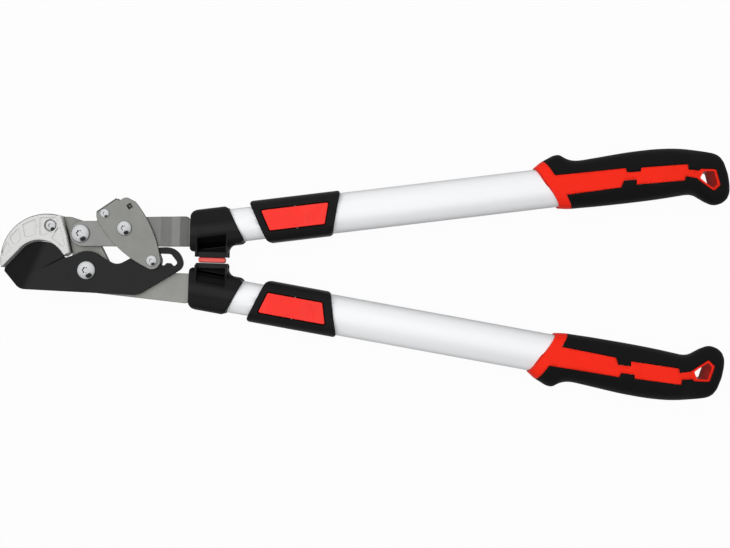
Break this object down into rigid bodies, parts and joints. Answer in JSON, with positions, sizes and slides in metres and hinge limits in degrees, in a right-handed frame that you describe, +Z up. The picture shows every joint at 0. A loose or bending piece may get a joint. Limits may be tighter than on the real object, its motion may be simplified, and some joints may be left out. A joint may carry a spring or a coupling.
{
  "type": "ratchet lopper",
  "caption": "Long-handled ratchet lopper: a coated blade closes on a hooked anvil through a sprung link, on telescopic aluminium handles with latches and two-colour grips.",
  "frame": {"origin": "below the middle of the closed tool's box, on the plane that it lies on", "axes": "+X from the head to the grips along the line between the handles, +Y towards the upper handle, +Z up from the plane it lies on"},
  "size_m": [0.6638, 0.2306, 0.0316],
  "materials": {
    "arm_steel": "satin nickel-grey plated sheet",
    "zinc": "bright zinc plate",
    "cast_anvil": "die-cast, lightly blasted",
    "blade_coat": "black non-stick coat",
    "tube_aluminium": "satin anodised",
    "black_plastic": "moulded, fine grain",
    "red_plastic": "moulded, satin",
    "black_grip": "soft grip, matt",
    "red_grip": "moulded, satin",
    "red_rubber": "soft bumper, matt",
    "spring_steel": "bright spring wire and strip"
  },
  "bodies": {
    "lower_arm": {"lower_arm_plate": "arm_steel", "anvil": "cast_anvil", "anvil_screw": "zinc", "blade_bolt": "zinc", "blade_nut": "zinc", "blade_washer": "arm_steel", "arm_bolt": "zinc", "arm_nut": "zinc", "arm_washer": "arm_steel", "lower_collar": "black_plastic", "lower_inner_tube": "tube_aluminium", "lower_tang_insert": "black_plastic", "lower_tang_pins": "zinc", "lower_tube_guide": "black_plastic"},
    "upper_arm": {"upper_arm_bar": "arm_steel", "link_bolt": "zinc", "link_nut": "zinc", "upper_collar": "black_plastic", "upper_bumper": "red_rubber", "upper_inner_tube": "tube_aluminium", "upper_tang_insert": "black_plastic", "upper_tang_pins": "zinc", "upper_tube_guide": "black_plastic"},
    "blade": {"blade": "blade_coat"},
    "link": {"link_yoke": "arm_steel", "pawl_pin": "zinc", "pawl_nut": "zinc", "stop_bolt": "zinc", "stop_nut": "zinc", "link_spring": "spring_steel"},
    "upper_handle": {"upper_outer_tube": "tube_aluminium", "upper_sleeve": "black_plastic", "upper_latch_pin": "zinc", "upper_latch_leaf": "spring_steel", "upper_grip_core": "red_grip", "upper_grip_cover": "black_grip"},
    "upper_latch": {"upper_rocker": "red_plastic", "upper_lock_peg": "zinc"},
    "lower_handle": {"lower_outer_tube": "tube_aluminium", "lower_sleeve": "black_plastic", "lower_latch_pin": "zinc", "lower_latch_leaf": "spring_steel", "lower_grip_core": "red_grip", "lower_grip_cover": "black_grip"},
    "lower_latch": {"lower_rocker": "red_plastic", "lower_lock_peg": "zinc"}
  },
  "joints": [
    {"name": "handle_open", "type": "hinge", "parent": "lower_arm", "child": "upper_arm", "pos_m": [-0.25971, 0.0205, 0.0155], "axis": [0, 0, 1], "range_deg": [0, 50]},
    {"name": "blade_swing", "type": "hinge", "parent": "lower_arm", "child": "blade", "pos_m": [-0.25341, -0.0128, 0.0155], "axis": [0, 0, 1], "range_deg": [0, 33.05]},
    {"name": "link_swing", "type": "hinge", "parent": "upper_arm", "child": "link", "pos_m": [-0.21921, 0.0264, 0.0155], "axis": [0, 0, 1], "range_deg": [-43.15, 0]},
    {"name": "upper_handle_slide", "type": "slide", "parent": "upper_arm", "child": "upper_handle", "axis": [0.9888, 0.1495, 0], "range_m": [0, 0.25]},
    {"name": "lower_handle_slide", "type": "slide", "parent": "lower_arm", "child": "lower_handle", "axis": [0.9888, -0.1495, 0], "range_m": [0, 0.25]},
    {"name": "upper_latch_tilt", "type": "hinge", "parent": "upper_handle", "child": "upper_latch", "pos_m": [-0.06351, 0.04112, 0.0285], "axis": [0.1495, -0.9888, 0], "range_deg": [0, 4.5], "stiffness_Nm_per_rad": 0.04, "springref_deg": 4.5},
    {"name": "lower_latch_tilt", "type": "hinge", "parent": "lower_handle", "child": "lower_latch", "pos_m": [-0.06351, -0.04112, 0.0285], "axis": [-0.1495, -0.9888, 0], "range_deg": [0, 4.5], "stiffness_Nm_per_rad": 0.04, "springref_deg": 4.5}
  ],
  "couplings": [
    {"joint": "blade_swing", "follows": "handle_open", "ratio": 0.66},
    {"joint": "link_swing", "follows": "handle_open", "ratio": -0.862}
  ]
}
